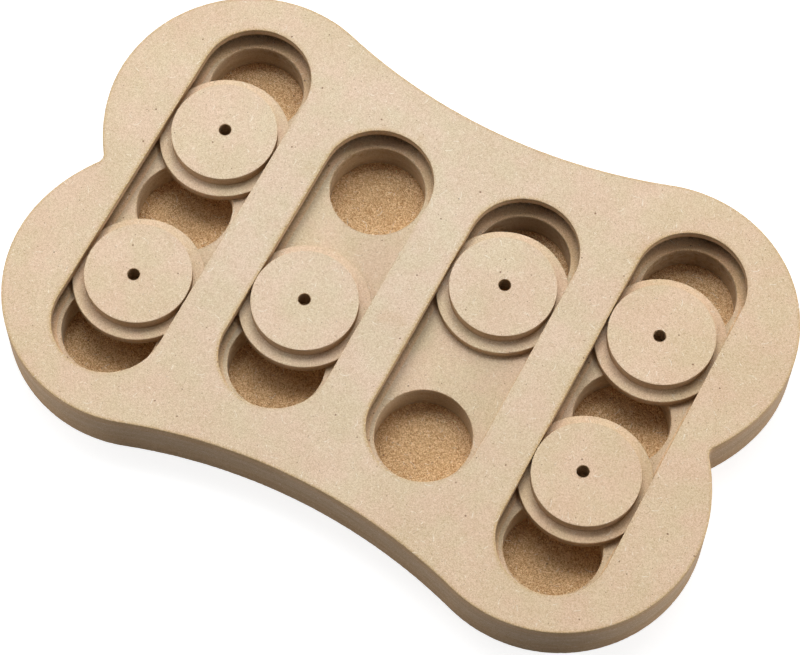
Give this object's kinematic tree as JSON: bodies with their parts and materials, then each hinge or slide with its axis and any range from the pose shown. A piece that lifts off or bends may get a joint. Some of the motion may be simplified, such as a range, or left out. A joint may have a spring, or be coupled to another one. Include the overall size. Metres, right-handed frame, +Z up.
{
  "type": "dog puzzle feeder toy",
  "caption": "Bone-shaped fibreboard puzzle feeder: flanged pucks slide in T-slots over round treat wells, so a dog has to push them aside to reach the food.",
  "frame": {"origin": "middle of the board's underside, where it rests on the floor", "axes": "+X along the bone's length, +Y along the slots, +Z up out of the slotted face"},
  "size_m": [0.3, 0.1994, 0.0255],
  "materials": {
    "upper_fibreboard": "sanded raw fibreboard, fine flecks, lightly burnished edges",
    "lower_fibreboard": "raw fibreboard, rough and fibrous where the wells are cut",
    "puck_fibreboard": "sanded raw fibreboard, fine flecks",
    "flange_fibreboard": "raw fibreboard with a sawn edge"
  },
  "bodies": {
    "board": {"upper_board": "upper_fibreboard", "lower_board": "lower_fibreboard"},
    "puck_1": {"puck_1_flange": "flange_fibreboard", "puck_1_knob": "puck_fibreboard"},
    "puck_2": {"puck_2_flange": "flange_fibreboard", "puck_2_knob": "puck_fibreboard"},
    "puck_3": {"puck_3_flange": "flange_fibreboard", "puck_3_knob": "puck_fibreboard"},
    "puck_4": {"puck_4_flange": "flange_fibreboard", "puck_4_knob": "puck_fibreboard"},
    "puck_5": {"puck_5_flange": "flange_fibreboard", "puck_5_knob": "puck_fibreboard"},
    "puck_6": {"puck_6_flange": "flange_fibreboard", "puck_6_knob": "puck_fibreboard"}
  },
  "joints": [
    {"name": "puck_1_slide", "type": "slide", "parent": "board", "child": "puck_1", "axis": [0, 1, 0], "range_m": [-0.0177, 0.0279]},
    {"name": "puck_2_slide", "type": "slide", "parent": "board", "child": "puck_2", "axis": [0, 1, 0], "range_m": [-0.0237, 0.0177]},
    {"name": "puck_3_slide", "type": "slide", "parent": "board", "child": "puck_3", "axis": [0, 1, 0], "range_m": [-0.0261, 0.0604]},
    {"name": "puck_4_slide", "type": "slide", "parent": "board", "child": "puck_4", "axis": [0, 1, 0], "range_m": [-0.069, 0.0188]},
    {"name": "puck_5_slide", "type": "slide", "parent": "board", "child": "puck_5", "axis": [0, 1, 0], "range_m": [-0.0132, 0.0255]},
    {"name": "puck_6_slide", "type": "slide", "parent": "board", "child": "puck_6", "axis": [0, 1, 0], "range_m": [-0.0299, 0.0132]}
  ]
}
